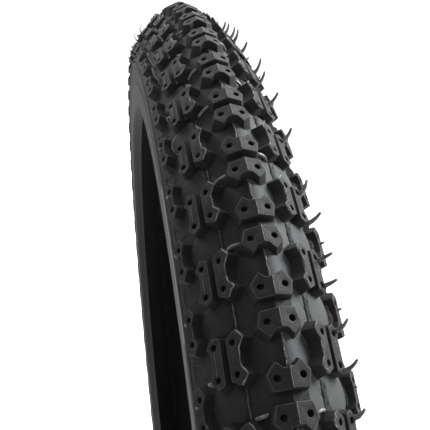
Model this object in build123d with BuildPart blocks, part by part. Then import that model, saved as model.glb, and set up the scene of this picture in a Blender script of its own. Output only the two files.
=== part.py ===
from build123d import *
import os
from math import cos, degrees, radians, sin, tan

os.makedirs("parts", exist_ok=True)

# A 50-406 bicycle tire in its free, unmounted shape.
# Lengths are in millimetres. The wheel turns about Y, its centre is the origin, and the tire
# stands on the XZ plane's -Z side. A section is drawn in the XY plane: x is the radius from the
# axle and y is the distance to the side of the centre line.

# ---- Driving dimensions ----------------------------------------------------------------------

PITCHES = 64                  # repeats of the tread pattern round the tire
OUTER_RADIUS = 254.0          # over the centre knobs
BEAD_SEAT_RADIUS = 203.0      # 406 mm bead seat diameter
KNOB_HEIGHT = 3.4
TREAD_BASE_THICKNESS = 1.8
SIDEWALL_THICKNESS = 1.1
PLY_THICKNESS = 0.6
CHAFER_THICKNESS = 0.4
RIB_HEIGHT = 0.8              # sidewall rib outboard of the shoulder knobs
CLUSTER_WEB_HEIGHT = 0.8      # rubber left in the slot between two knobs of one cluster

# The outer face of the casing, from the crown to the bead: tangent arcs and straight flanks.
CROWN_ARC_RADIUS = 3.2
FLANK_ANGLE = 41.5            # slope of the upper flank, degrees from the axle's direction
UPPER_FLANK_LENGTH = 13.74
BEND_ARC_RADIUS = 10.2
SHOULDER_ANGLE = 58.0
LOWER_FLANK_LENGTH = 11.66
WALL_ARC_RADIUS = 8.2
UPRIGHT_WALL_LENGTH = 4.1     # the widest part of the wall stands straight up
BEAD_BEND_RADIUS = 8.0
BEAD_LEAN = 15.0              # how far the lower wall leans in towards the bead, degrees
TREAD_EDGE_ANGLE = 66.0       # where the tread rubber ends on the wall arc
RIB_START_ANGLE = 71.0
RIB_END_ANGLE = 79.0

# Bead bundle and what wraps it, as radii about the bead wire's centre.
WIRE_RADIUS = 1.0
FILLER_RADIUS = 1.2
OUTER_PLY_RADIUS = FILLER_RADIUS + PLY_THICKNESS
INNER_PLY_RADIUS = OUTER_PLY_RADIUS + PLY_THICKNESS
CHAFER_RADIUS = INNER_PLY_RADIUS + CHAFER_THICKNESS
OUTER_PLY_TURN_UP = 8.3       # height of each turned-up end over the bead wire's centre
INNER_PLY_TURN_UP = 9.2
CHAFER_HEIGHT = 9.4
TOE_OFFSET = 2.9              # bead toe, inboard of the bead wire
HEEL_RADIUS = 0.8

# Moulded dog-bone knobs: half lengths along the knob, widths across it.
CENTRE_KNOB = {
    "half_edge": 5.2, "half_wide": 6.45, "wide_at": 4.25, "half_point": 3.6, "width": 7.45,
    "half_foot": 1.75, "notch": 1.85, "dimple_along": 3.68, "dimple_across": 3.2,
}
INNER_FLANK_KNOB = {
    "half_edge": 5.7, "half_wide": 7.4, "wide_at": 3.0, "half_point": 4.9, "width": 6.0,
    "half_foot": 2.5, "notch": 1.9, "dimple_along": 4.35, "dimple_across": 2.15,
}
OUTER_FLANK_KNOB = {
    "half_edge": 6.2, "half_wide": 7.2, "wide_at": 2.6, "half_point": 4.6, "width": 5.0,
    "half_foot": 2.6, "notch": 1.4, "dimple_along": 4.45, "dimple_across": 2.3,
}
SHOULDER_KNOB = {
    "half_edge": 6.0, "half_wide": 7.1, "wide_at": 2.9, "half_point": 4.4, "width": 4.9,
    "half_foot": 2.3, "notch": 1.4, "dimple_along": 3.7, "dimple_across": 2.3,
}
CENTRE_SLOT = 3.44            # between the two knobs of a centre cluster
ROOF_ANGLE = 22.0             # slope of each half of a centre knob's top
FLANK_KNOB_ANGLE = 46.5       # slope of a flank cluster's top
FLANK_SLOT = 2.2              # between the two knobs of a flank cluster
FLANK_SLOT_PLACE = 14.75      # along the casing from the crown
SHOULDER_EDGE_PLACE = 27.9
WEB_OVERLAP = 0.2             # how far the web in a slot runs into each knob beside it
DIMPLE_RADIUS = 1.0
DIMPLE_DEPTH = 1.8
SPEW_RADIUS = 0.5
SPEW_TAPER = 2.0              # degrees
FLANK_SPEW_PLACE = 18.75
SHOULDER_SPEW_PLACE = 26.5
FLANK_SPEW_LENGTH = 6.0
SHOULDER_SPEW_LENGTH = 2.2
FLASH_HEIGHT = 0.7
FLASH_WIDTH = 0.3
CENTRE_FLASH_LENGTH = 9.6
FLANK_FLASH_LENGTH = 8.0
FLANK_FLASH_PLACE = 10.2
LABEL_START_PLACE = 35.6
LABEL_END_PLACE = 41.6
LABEL_THICKNESS = 0.15
LABEL_SPAN = 16.0             # round the wheel, degrees
LABEL_PLACE = 42.0            # where the label's middle is, degrees above the front

PITCH_ANGLE = 360 / PITCHES
FRONT_ANGLE = 0.0             # the first centre cluster stands at +X

# ---- The section: a curve with offsets --------------------------------------------------------

BASE_OFFSET = TREAD_BASE_THICKNESS
TOP_OFFSET = BASE_OFFSET + KNOB_HEIGHT
CROWN_CASING_RADIUS = OUTER_RADIUS - TOP_OFFSET
WALL_ANGLE = 90 + BEAD_LEAN

# The bead wire's centre is set by the bead seat; the straight lower wall runs down to it.
BEAD_CENTRE_RADIUS = BEAD_SEAT_RADIUS + CHAFER_RADIUS


def normal(angle):
    """The section's outward normal where the surface slopes by this angle."""
    return Vector(cos(radians(angle)), sin(radians(angle)))


def along(angle):
    """The section's direction from crown to bead where it slopes by this angle."""
    return Vector(-sin(radians(angle)), cos(radians(angle)))


def casing_runs():
    """The casing's outer face from crown to bead: (start, place, length, angle, arc radius)."""
    runs = []
    point = Vector(CROWN_CASING_RADIUS, 0)
    place = 0.0
    angle = 0.0
    shape = [
        (CROWN_ARC_RADIUS, FLANK_ANGLE),
        (None, UPPER_FLANK_LENGTH),
        (BEND_ARC_RADIUS, SHOULDER_ANGLE),
        (None, LOWER_FLANK_LENGTH),
        (WALL_ARC_RADIUS, 90),
        (None, UPRIGHT_WALL_LENGTH),
        (BEAD_BEND_RADIUS, WALL_ANGLE),
    ]
    for radius, value in shape:
        if radius is None:
            runs.append((point, place, value, angle, None))
            point = point + along(angle) * value
            place += value
        else:
            length = radius * radians(value - angle)
            runs.append((point, place, length, angle, radius))
            point = point + (normal(value) - normal(angle)) * radius
            place += length
            angle = value
    bead_level = BEAD_CENTRE_RADIUS + FILLER_RADIUS * sin(radians(BEAD_LEAN))
    length = (point.X - bead_level) / cos(radians(BEAD_LEAN))
    runs.append((point, place, length, angle, None))
    return runs


RUNS = casing_runs()
BEAD_PLACE = RUNS[-1][1] + RUNS[-1][2]


def run_at(place):
    """The run of the casing that this place along it falls on."""
    for run in RUNS:
        if place <= run[1] + run[2] + 1e-9:
            return run
    return RUNS[-1]


def slope_at(place):
    """The surface's slope, in degrees, at a place along the casing."""
    _, start_place, _, angle, radius = run_at(place)
    return angle if radius is None else angle + degrees((place - start_place) / radius)


def casing_point(place, offset):
    """A point at a place along the casing, lifted off it by an offset."""
    start, start_place, _, angle, radius = run_at(place)
    slope = slope_at(place)
    if radius is None:
        return start + along(angle) * (place - start_place) + normal(angle) * offset
    return start + (normal(slope) - normal(angle)) * radius + normal(slope) * offset


def wall_place(angle):
    """The place on the arc above the widest part of the wall where the surface has this slope."""
    wall = RUNS[4]
    return wall[1] + wall[4] * radians(angle - wall[3])


def follow_casing(from_place, to_place, offset):
    """Draw the edges of the casing's curve between two places, lifted by an offset."""
    low, high = sorted((from_place, to_place))
    for _, start_place, length, _, radius in RUNS:
        first = max(low, start_place)
        last = min(high, start_place + length)
        if last - first < 1e-6:
            continue
        if radius is None:
            Line(casing_point(first, offset), casing_point(last, offset))
        else:
            middle = casing_point((first + last) / 2, offset)
            ThreePointArc(casing_point(first, offset), middle, casing_point(last, offset))


BEAD_CENTRE = casing_point(BEAD_PLACE, FILLER_RADIUS)
TREAD_EDGE_PLACE = wall_place(TREAD_EDGE_ANGLE)
RIB_START_PLACE = wall_place(RIB_START_ANGLE)
RIB_END_PLACE = wall_place(RIB_END_ANGLE)


def place_at_radius(radius, offset=0.0):
    """The place on the straight lower wall whose lifted point has this wheel radius."""
    start, start_place, _, _, _ = RUNS[-1]
    lift = (normal(WALL_ANGLE) * offset).X
    return start_place + (start.X + lift - radius) / cos(radians(BEAD_LEAN))


def beside_bead(radius, height):
    """A point on the bead's outer side, a distance out from the wire and a height above it."""
    return BEAD_CENTRE + Vector(height, radius)


def wrap_bead(radius):
    """Draw the arc that goes under the bead wire from its inner side to its outer side."""
    inner_side = BEAD_CENTRE - normal(WALL_ANGLE) * radius
    under = BEAD_CENTRE + Vector(-radius, 0)
    ThreePointArc(inner_side, under, beside_bead(radius, 0))
    return inner_side


# ---- Casing plies: carcass fabric turned up round both beads ----------------------------------


def ply(outer_offset, bead_radius, turn_up):
    """One carcass ply as a ring: its section goes from the crown round the bead and up again."""
    inner_offset = outer_offset - PLY_THICKNESS
    outer_bead_radius = bead_radius + PLY_THICKNESS
    with BuildPart() as ring:
        with BuildSketch(Plane.XY):
            with BuildLine():
                follow_casing(0, BEAD_PLACE, outer_offset)
                wrap_bead(bead_radius)
                Polyline(
                    beside_bead(bead_radius, 0),
                    beside_bead(bead_radius, turn_up),
                    beside_bead(outer_bead_radius, turn_up),
                    beside_bead(outer_bead_radius, 0),
                )
                wrap_bead(outer_bead_radius)
                follow_casing(0, BEAD_PLACE, inner_offset)
                Line(casing_point(0, inner_offset), casing_point(0, outer_offset))
            make_face()
            mirror(about=Plane.XZ)
        revolve(axis=Axis.Y)
    return ring


casing_ply_outer = ply(0.0, FILLER_RADIUS, OUTER_PLY_TURN_UP)
casing_ply_inner = ply(-PLY_THICKNESS, OUTER_PLY_RADIUS, INNER_PLY_TURN_UP)

# ---- Beads: steel wire, its rubber filler, and the chafer that meets the rim -------------------

with BuildPart() as bead_wire:
    with BuildSketch(Plane.XY):
        with Locations(BEAD_CENTRE):
            Circle(WIRE_RADIUS)
    revolve(axis=Axis.Y)

# The filler is a drop round the wire: its sides run up from the circle until they meet.
filler_height = FILLER_RADIUS / tan(radians(BEAD_LEAN / 2))
filler_top = BEAD_PLACE - filler_height
with BuildPart() as bead_filler:
    with BuildSketch(Plane.XY):
        with BuildLine():
            wrap_bead(FILLER_RADIUS)
            Line(casing_point(BEAD_PLACE, 0), casing_point(filler_top, 0))
            Line(casing_point(filler_top, 0), beside_bead(FILLER_RADIUS, 0))
        make_face()
        with Locations(BEAD_CENTRE):
            Circle(WIRE_RADIUS, mode=Mode.SUBTRACT)
    revolve(axis=Axis.Y)

chafer_inner_offset = FILLER_RADIUS - INNER_PLY_RADIUS
chafer_face_offset = FILLER_RADIUS - CHAFER_RADIUS
chafer_top_place = place_at_radius(BEAD_CENTRE.X + CHAFER_HEIGHT, chafer_inner_offset)
toe_y = BEAD_CENTRE.Y - TOE_OFFSET
toe_place = chafer_top_place + (
    casing_point(chafer_top_place, chafer_face_offset).Y - toe_y
) / sin(radians(BEAD_LEAN))
with BuildPart() as chafer:
    with BuildSketch(Plane.XY):
        with BuildLine():
            wrap_bead(INNER_PLY_RADIUS)
            Line(
                casing_point(BEAD_PLACE, chafer_inner_offset),
                casing_point(chafer_top_place, chafer_inner_offset),
            )
            Polyline(
                casing_point(chafer_top_place, chafer_inner_offset),
                casing_point(chafer_top_place, chafer_face_offset),
                casing_point(toe_place, chafer_face_offset),
                (BEAD_SEAT_RADIUS, toe_y),
                (BEAD_SEAT_RADIUS, BEAD_CENTRE.Y + CHAFER_RADIUS),
                beside_bead(CHAFER_RADIUS, CHAFER_HEIGHT),
                beside_bead(INNER_PLY_RADIUS, CHAFER_HEIGHT),
                beside_bead(INNER_PLY_RADIUS, 0),
            )
        section = make_face()
        seat_corners = section.vertices().filter_by(
            lambda corner: abs(corner.X - BEAD_SEAT_RADIUS) < 1e-6
        )
        fillet(seat_corners.sort_by(Axis.Y)[-1], HEEL_RADIUS)
    revolve(axis=Axis.Y)

# ---- Sidewall rubber, with the rib outboard of the shoulder knobs ------------------------------

sidewall_bottom_radius = BEAD_CENTRE.X + CHAFER_HEIGHT
inner_bottom_place = place_at_radius(sidewall_bottom_radius)
outer_bottom_place = place_at_radius(sidewall_bottom_radius, SIDEWALL_THICKNESS)
rib_offset = SIDEWALL_THICKNESS + RIB_HEIGHT
with BuildPart() as sidewall:
    with BuildSketch(Plane.XY):
        with BuildLine():
            follow_casing(TREAD_EDGE_PLACE, inner_bottom_place, 0)
            Line(casing_point(inner_bottom_place, 0),
                 casing_point(outer_bottom_place, SIDEWALL_THICKNESS))
            follow_casing(outer_bottom_place, RIB_END_PLACE, SIDEWALL_THICKNESS)
            Line(casing_point(RIB_END_PLACE, SIDEWALL_THICKNESS),
                 casing_point(RIB_END_PLACE, rib_offset))
            follow_casing(RIB_END_PLACE, RIB_START_PLACE, rib_offset)
            Line(casing_point(RIB_START_PLACE, rib_offset),
                 casing_point(RIB_START_PLACE, SIDEWALL_THICKNESS))
            follow_casing(RIB_START_PLACE, TREAD_EDGE_PLACE, SIDEWALL_THICKNESS)
            Line(casing_point(TREAD_EDGE_PLACE, SIDEWALL_THICKNESS),
                 casing_point(TREAD_EDGE_PLACE, 0))
        make_face()
    revolve(axis=Axis.Y)

label_offset = SIDEWALL_THICKNESS + LABEL_THICKNESS
with BuildPart() as label_film:
    with BuildSketch(Plane.XY):
        with BuildLine():
            follow_casing(LABEL_START_PLACE, LABEL_END_PLACE, SIDEWALL_THICKNESS)
            follow_casing(LABEL_START_PLACE, LABEL_END_PLACE, label_offset)
            Line(casing_point(LABEL_START_PLACE, SIDEWALL_THICKNESS),
                 casing_point(LABEL_START_PLACE, label_offset))
            Line(casing_point(LABEL_END_PLACE, SIDEWALL_THICKNESS),
                 casing_point(LABEL_END_PLACE, label_offset))
        make_face()
    revolve(axis=Axis.Y, revolution_arc=LABEL_SPAN)

# ---- Tread base --------------------------------------------------------------------------------

with BuildPart() as tread_base:
    with BuildSketch(Plane.XY):
        with BuildLine():
            follow_casing(0, TREAD_EDGE_PLACE, 0)
            Line(casing_point(TREAD_EDGE_PLACE, 0), casing_point(TREAD_EDGE_PLACE, BASE_OFFSET))
            follow_casing(0, TREAD_EDGE_PLACE, BASE_OFFSET)
            Line(casing_point(0, BASE_OFFSET), casing_point(0, 0))
        make_face()
        mirror(about=Plane.XZ)
    revolve(axis=Axis.Y)

# ---- Tread knobs -------------------------------------------------------------------------------


def over_base_sector():
    """A short sector of the space over the tread base, where knobs may stand."""
    headroom = BASE_OFFSET + 2 * KNOB_HEIGHT
    with BuildPart() as sector:
        with BuildSketch(Plane.XY.rotated((0, -PITCH_ANGLE, 0))):
            with BuildLine():
                follow_casing(0, TREAD_EDGE_PLACE, BASE_OFFSET)
                Line(casing_point(TREAD_EDGE_PLACE, BASE_OFFSET),
                     casing_point(TREAD_EDGE_PLACE, headroom))
                follow_casing(0, TREAD_EDGE_PLACE, headroom)
                Line(casing_point(0, headroom), casing_point(0, BASE_OFFSET))
            make_face()
            mirror(about=Plane.XZ)
        revolve(axis=Axis.Y, revolution_arc=2 * PITCH_ANGLE)
    return sector


over_base = over_base_sector()


def top_plane(place, slope):
    """A flat on the knob tops at a place along the casing; its x runs from crown to bead."""
    return Plane(origin=casing_point(place, TOP_OFFSET), x_dir=along(slope), z_dir=normal(slope))


def dogbone(knob):
    """A dog-bone outline with its straight edge on the x axis and its notch above it."""
    foot_level = knob["width"] - knob["notch"]
    right_side = [
        (knob["half_edge"], 0),
        (knob["half_wide"], knob["wide_at"]),
        (knob["half_point"], knob["width"]),
        (knob["half_foot"], foot_level),
    ]
    left_side = [(-x, y) for x, y in reversed(right_side)]
    return right_side + left_side


def turned(points, shift, quarter_turns):
    """Shift points up, then turn them about the cluster's middle by quarter turns."""
    moved = [(x, y + shift) for x, y in points]
    for _ in range(quarter_turns):
        moved = [(-y, x) for x, y in moved]
    return moved


def dimples(knob, shift, quarter_turns):
    """The middles of a knob's two dimples, placed like its outline."""
    across = knob["dimple_across"]
    pair = [(knob["dimple_along"], across), (-knob["dimple_along"], across)]
    return turned(pair, shift, quarter_turns)


def cluster(plane, lift, knobs, web_size, side=None):
    """Knobs with one flat top and blind dimples, cut below to the tread base.

    lift is the direction that the walls stand in. knobs is a list of (sizes, shift, quarter
    turns). web_size is the (x, y) of the low web in the slot between two knobs, or None.
    side is the sketch rectangle, as (x, y, centre), that the cluster is limited to, or None.
    """
    reach = 3 * KNOB_HEIGHT
    sink = tuple(-lift)
    with BuildPart() as block:
        with BuildSketch(plane):
            for sizes, shift, turns in knobs:
                with BuildLine():
                    Polyline(*turned(dogbone(sizes), shift, turns), close=True)
                make_face()
            if side is not None:
                with Locations(side[2]):
                    Rectangle(side[0], side[1], mode=Mode.INTERSECT)
        extrude(amount=reach, dir=sink)
        if web_size is not None:
            with BuildSketch(plane.offset(CLUSTER_WEB_HEIGHT - KNOB_HEIGHT)):
                Rectangle(*web_size)
                if side is not None:
                    with Locations(side[2]):
                        Rectangle(side[0], side[1], mode=Mode.INTERSECT)
            extrude(amount=reach, dir=sink)
        add(over_base.part, mode=Mode.INTERSECT)
        with BuildSketch(plane):
            for sizes, shift, turns in knobs:
                with Locations(*dimples(sizes, shift, turns)):
                    Circle(DIMPLE_RADIUS)
            if side is not None:
                with Locations(side[2]):
                    Rectangle(side[0], side[1], mode=Mode.INTERSECT)
        extrude(amount=-DIMPLE_DEPTH, mode=Mode.SUBTRACT)
    return block


def around_wheel(phase):
    """One location per pitch, turned about the axle; phase is in pitches from the front."""
    return [
        Location((0, 0, 0), (0, FRONT_ANGLE - (index + phase) * PITCH_ANGLE, 0))
        for index in range(PITCHES)
    ]


# The centre cluster is a low roof over the crown, so one half is made and mirrored.
half_slot = CENTRE_SLOT / 2
half_length = CENTRE_KNOB["half_wide"] + 1
half_width = half_slot + CENTRE_KNOB["width"] + 1
roof_half = (half_length, 2 * half_width, (half_length / 2, 0))
centre_half = cluster(
    top_plane(0, ROOF_ANGLE),
    Vector(1, 0, 0),
    [(CENTRE_KNOB, half_slot, 0), (CENTRE_KNOB, half_slot, 2)],
    (2 * CENTRE_KNOB["half_edge"], CENTRE_SLOT + 2 * WEB_OVERLAP),
    roof_half,
)
with BuildPart() as centre_cluster:
    add(centre_half.part)
    mirror(about=Plane.XZ)

half_flank_slot = FLANK_SLOT / 2
flank_cluster = cluster(
    top_plane(FLANK_SLOT_PLACE, FLANK_KNOB_ANGLE),
    normal(FLANK_KNOB_ANGLE),
    [(INNER_FLANK_KNOB, half_flank_slot, 1), (OUTER_FLANK_KNOB, half_flank_slot, 3)],
    (FLANK_SLOT + 2 * WEB_OVERLAP, 2 * INNER_FLANK_KNOB["half_edge"]),
)
shoulder_block = cluster(
    top_plane(SHOULDER_EDGE_PLACE, SHOULDER_ANGLE),
    normal(SHOULDER_ANGLE),
    [(SHOULDER_KNOB, 0, 1)],
    None,
)

with BuildPart() as centre_knobs:
    with Locations(*around_wheel(0)):
        add(centre_cluster.part)

with BuildPart() as flank_knobs:
    with Locations(*around_wheel(0.5)):
        add(flank_cluster.part)

with BuildPart() as shoulder_knobs:
    with Locations(*around_wheel(0)):
        add(shoulder_block.part)

# ---- Moulding marks: flash at the mould's parting lines, and vent spews ------------------------


def flash_segment(place, length):
    """A low fin of flash along a parting line, between two clusters."""
    radius = casing_point(place, BASE_OFFSET).X
    span = degrees(length / radius)
    plane = Plane.XY.rotated((0, -span / 2, 0))
    slope = slope_at(place)
    foot = casing_point(place, BASE_OFFSET)
    half_width = along(slope) * (FLASH_WIDTH / 2)
    height = normal(slope) * FLASH_HEIGHT
    with BuildPart() as fin:
        with BuildSketch(plane):
            with BuildLine():
                Polyline(foot - half_width, foot + half_width,
                         foot + half_width + height, foot - half_width + height, close=True)
            make_face()
        revolve(axis=Axis.Y, revolution_arc=span)
    return fin


def spew(place, length):
    """A vent spew: a tapered rubber hair that stands on a knob's top."""
    with BuildPart() as hair:
        with BuildSketch(top_plane(place, slope_at(place))):
            Circle(SPEW_RADIUS)
        extrude(amount=length, taper=SPEW_TAPER)
    return hair


centre_fin = flash_segment(0, CENTRE_FLASH_LENGTH)
flank_fin = flash_segment(FLANK_FLASH_PLACE, FLANK_FLASH_LENGTH)
flank_hair = spew(FLANK_SPEW_PLACE, FLANK_SPEW_LENGTH)
shoulder_hair = spew(SHOULDER_SPEW_PLACE, SHOULDER_SPEW_LENGTH)

with BuildPart() as parting_flash_centre:
    with Locations(*around_wheel(0.5)):
        add(centre_fin.part)

with BuildPart() as parting_flash:
    with Locations(*around_wheel(0)):
        add(flank_fin.part)

with BuildPart() as flank_spews:
    with Locations(*around_wheel(0.5)):
        add(flank_hair.part)

with BuildPart() as shoulder_spews:
    with Locations(*around_wheel(0)):
        add(shoulder_hair.part)

# ---- Write every piece -------------------------------------------------------------------------


def write(piece, name):
    """Label a piece and write it to its own STEP file."""
    piece.part.label = name
    export_step(piece.part, f"parts/{name}.step")


def write_pair(piece, name):
    """Write a right-hand piece, then its mirror image on the left."""
    write(piece, f"{name}_right")
    with BuildPart() as left_piece:
        add(mirror(piece.part, about=Plane.XZ, mode=Mode.PRIVATE))
    write(left_piece, f"{name}_left")


with BuildPart() as sidewall_label_left:
    with Locations(Location((0, 0, 0), (0, -LABEL_PLACE - LABEL_SPAN / 2, 0))):
        add(mirror(label_film.part, about=Plane.XZ, mode=Mode.PRIVATE))

write(casing_ply_inner, "casing_ply_inner")
write(casing_ply_outer, "casing_ply_outer")
write(tread_base, "tread_base")
write(centre_knobs, "centre_knobs")
write(parting_flash_centre, "parting_flash_centre")
write(sidewall_label_left, "sidewall_label_left")
write_pair(bead_wire, "bead_wire")
write_pair(bead_filler, "bead_filler")
write_pair(chafer, "chafer")
write_pair(sidewall, "sidewall")
write_pair(flank_knobs, "flank_knobs")
write_pair(shoulder_knobs, "shoulder_knobs")
write_pair(parting_flash, "parting_flash")
write_pair(flank_spews, "flank_vent_spews")
write_pair(shoulder_spews, "shoulder_vent_spews")
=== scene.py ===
import math

import bpy
import numpy as np
from mathutils import Matrix, Vector
from mathutils.geometry import delaunay_2d_cdt


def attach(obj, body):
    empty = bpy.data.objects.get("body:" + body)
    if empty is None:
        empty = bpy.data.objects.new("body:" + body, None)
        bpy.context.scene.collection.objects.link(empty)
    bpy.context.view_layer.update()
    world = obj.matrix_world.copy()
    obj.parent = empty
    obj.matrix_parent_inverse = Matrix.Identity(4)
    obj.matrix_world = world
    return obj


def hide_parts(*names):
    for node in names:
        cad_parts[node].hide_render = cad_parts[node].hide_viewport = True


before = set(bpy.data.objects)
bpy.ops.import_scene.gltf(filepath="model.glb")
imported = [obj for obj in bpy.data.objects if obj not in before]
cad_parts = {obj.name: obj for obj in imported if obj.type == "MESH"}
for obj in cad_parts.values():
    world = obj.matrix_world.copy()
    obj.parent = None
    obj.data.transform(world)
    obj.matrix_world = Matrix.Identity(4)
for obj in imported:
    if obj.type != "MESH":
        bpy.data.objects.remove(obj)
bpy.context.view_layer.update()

# ---- Sizes, in millimetres; the section is the CAD frame's own ---------------------------------

MM = 0.001
PITCHES = 64
PITCH_ANGLE = 2 * math.pi / PITCHES
OUTER_RADIUS = 254.0
BASE_LIFT = 1.8
KNOB_HEIGHT = 3.4
TOP_LIFT = BASE_LIFT + KNOB_HEIGHT
SIDEWALL_LIFT = 1.1
RIB_LIFT = 1.85

# The casing's outer face from the crown to the bead: (length, slope at its start and its end).
CASING_RUNS = [
    (3.2 * math.radians(41.5), 0, 41.5),
    (13.74, 41.5, 41.5),
    (10.2 * math.radians(58 - 41.5), 41.5, 58),
    (11.66, 58, 58),
    (8.2 * math.radians(90 - 58), 58, 90),
    (4.1, 90, 90),
    (8.0 * math.radians(15), 90, 105),
    (10.5, 105, 105),
]
TREAD_EDGE = 31.8
WALL_END = 42.2

CENTRE_KNOB = {
    "half_edge": 5.2, "half_wide": 6.45, "wide_at": 4.25, "half_point": 3.6, "width": 7.45,
    "half_foot": 1.75, "notch": 1.85, "dimple_along": 3.68, "dimple_across": 3.2,
}
INNER_FLANK_KNOB = {
    "half_edge": 5.7, "half_wide": 7.4, "wide_at": 3.0, "half_point": 4.9, "width": 6.0,
    "half_foot": 2.5, "notch": 1.9, "dimple_along": 4.35, "dimple_across": 2.15,
}
OUTER_FLANK_KNOB = {
    "half_edge": 6.2, "half_wide": 7.2, "wide_at": 2.6, "half_point": 4.6, "width": 5.0,
    "half_foot": 2.6, "notch": 1.4, "dimple_along": 4.45, "dimple_across": 2.3,
}
SHOULDER_KNOB = {
    "half_edge": 6.0, "half_wide": 7.1, "wide_at": 2.9, "half_point": 4.4, "width": 4.9,
    "half_foot": 2.3, "notch": 1.4, "dimple_along": 3.7, "dimple_across": 2.3,
}
CENTRE_SLOT = 3.44
ROOF_SLOPE = 22.0
FLANK_SLOPE = 46.5
FLANK_SLOT = 2.2
FLANK_PLACE = 14.75
SHOULDER_SLOPE = 58.0
SHOULDER_PLACE = 27.9
WEB_HEIGHT = 0.8

# A knob's rings, from its flat top to below its rim, as (inset, drop, painted rim highlight), and a
# dimple's rings, from its lip to its floor, as (radius, drop, painted rim highlight).
RIM_RINGS = ((0.26, 0.0, 0.0), (0.09, 0.015, 1.0), (0.0, 0.10, 0.9), (-0.03, 0.3, 0.1))
DIMPLE_LIP = 1.14
DIMPLE_RINGS = ((1.03, 0.06, 0.5), (0.98, 0.28, 0.2), (0.9, 1.5, 0.0), (0.6, 1.75, 0.0))
DIMPLE_SIDES = 14

# The wheel radius at which distances round the wheel are measured, for each row.
CENTRE_ROW_RADIUS = 250.0
FLANK_ROW_RADIUS = 245.0
SHOULDER_ROW_RADIUS = 236.0

# Moulding marks. A place is a distance along the casing from the crown.
LINE_HEIGHT = 0.07            # the fine parting line over the knob tops
MIDDLE_SHIFT = 0.22           # the two mould halves don't quite meet at the centre line
EDGE_FLASH_PLACE = 23.7
PAD_PLACES = (11.6, 23.4)
PAD_HALF_LENGTH = 4.9
PAD_HEIGHT = 0.75
SCALLOP_RADIUS = 5.0

# The wall arc, as the place where it starts, its radius and its slope there.
WALL_ARC_START = 30.655
WALL_ARC_RADIUS = 8.2
WALL_ARC_SLOPE = 58

# Seeds for what varies from pitch to pitch; the pitch's number is added to them.
CENTRE_FLASH_SEED = 1000
FLANK_FLASH_SEED = 2000
EDGE_FLASH_SEED = 7000
FLANK_HAIR_SEEDS = {"right": 3000, "left": 4000}
SHOULDER_HAIR_SEEDS = {"right": 5000, "left": 6000}


def casing_curve(step=0.02):
    """Dense samples of the casing's face: place, wheel radius, distance to the side, slope."""
    knots = [0.0]
    slopes = [0.0]
    for length, first, last in CASING_RUNS:
        knots += [knots[-1] + 1e-6, knots[-1] + length]
        slopes += [first, last]
    place = np.arange(0, knots[-1], step)
    slope = np.radians(np.interp(place, knots, slopes))
    middle = np.radians(np.interp(place[:-1] + step / 2, knots, slopes))
    crown = OUTER_RADIUS - TOP_LIFT
    radius = crown - np.concatenate([[0], np.cumsum(np.sin(middle))]) * step
    side = np.concatenate([[0], np.cumsum(np.cos(middle))]) * step
    return place, radius, side, slope


CURVE = casing_curve()


def section(place, lift):
    """Wheel radius and side distance of a point at a signed place, lifted off the casing."""
    far = np.abs(place)
    slope = np.interp(far, CURVE[0], CURVE[3])
    radius = np.interp(far, CURVE[0], CURVE[1]) + lift * np.cos(slope)
    side = np.interp(far, CURVE[0], CURVE[2]) + lift * np.sin(slope)
    return radius, np.sign(place) * side


def turn_to(points, angle):
    """Points (radius, side, across) at an angle up from the front, in the wheel's axes."""
    radius, side, across = np.asarray(points, float).T
    c, s = np.cos(angle), np.sin(angle)
    return np.stack([radius * c - across * s, side, radius * s + across * c], -1)


def smooth(low, high, value):
    """0 below low, 1 above high and a smooth step between."""
    t = np.clip((value - low) / (high - low), 0, 1)
    return t * t * (3 - 2 * t)


# ---- Gathering meshes --------------------------------------------------------------------------


class Shape:
    """Points, faces and painted rim-highlight marks of one piece, gathered in millimetres."""

    def __init__(self):
        self.points = []
        self.faces = []
        self.marks = []
        self.count = 0

    def add(self, points, faces, marks=None, flip=False):
        points = np.asarray(points, float)
        if flip:
            faces = [tuple(reversed(face)) for face in faces]
        self.points.append(points)
        self.faces += [tuple(i + self.count for i in face) for face in faces]
        self.marks.append(np.zeros(len(points)) if marks is None else np.asarray(marks, float))
        self.count += len(points)

    def piece(self, name, material, replaces, slot, sharp=38):
        """Make the Blender object, smooth except at sharp edges, and hand it to the frame."""
        mesh = bpy.data.meshes.new(name)
        mesh.from_pydata((np.concatenate(self.points) * MM).tolist(), [], self.faces)
        mesh.validate()
        # per-point marks where the knob rims and dimple lips get a painted highlight
        attribute = mesh.attributes.new("wear", "FLOAT", "POINT")
        marks = np.concatenate(self.marks)
        if len(marks) == len(mesh.vertices):
            attribute.data.foreach_set("value", marks.astype(np.float32))
        mesh.shade_smooth()
        mesh.set_sharp_from_angle(angle=math.radians(sharp))
        mesh.materials.append(material)
        made = bpy.data.objects.new(name, mesh)
        bpy.context.scene.collection.objects.link(made)
        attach(made, "root")
        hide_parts(*replaces)


def loop_faces(ring, count):
    """Quads between each ring of points and the next; ring is the points in one closed ring."""
    faces = []
    for row in range(count - 1):
        start = row * ring
        for i in range(ring):
            j = (i + 1) % ring
            faces.append((start + i, start + j, start + ring + j, start + ring + i))
    return faces


# ---- Dog-bone knobs ----------------------------------------------------------------------------


def rounded(corners, radius, steps=2):
    """An outline with each corner cut to a short arc."""
    out = []
    total = len(corners)
    for i, corner in enumerate(corners):
        corner = Vector(corner)
        before = Vector(corners[i - 1]) - corner
        after = Vector(corners[(i + 1) % total]) - corner
        reach = min(radius, before.length * 0.4, after.length * 0.4)
        start = corner + before.normalized() * reach
        end = corner + after.normalized() * reach
        for k in range(steps + 1):
            t = k / steps
            out.append((start * (1 - t) ** 2 + corner * 2 * t * (1 - t) + end * t * t)[:])
    return out


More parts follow.
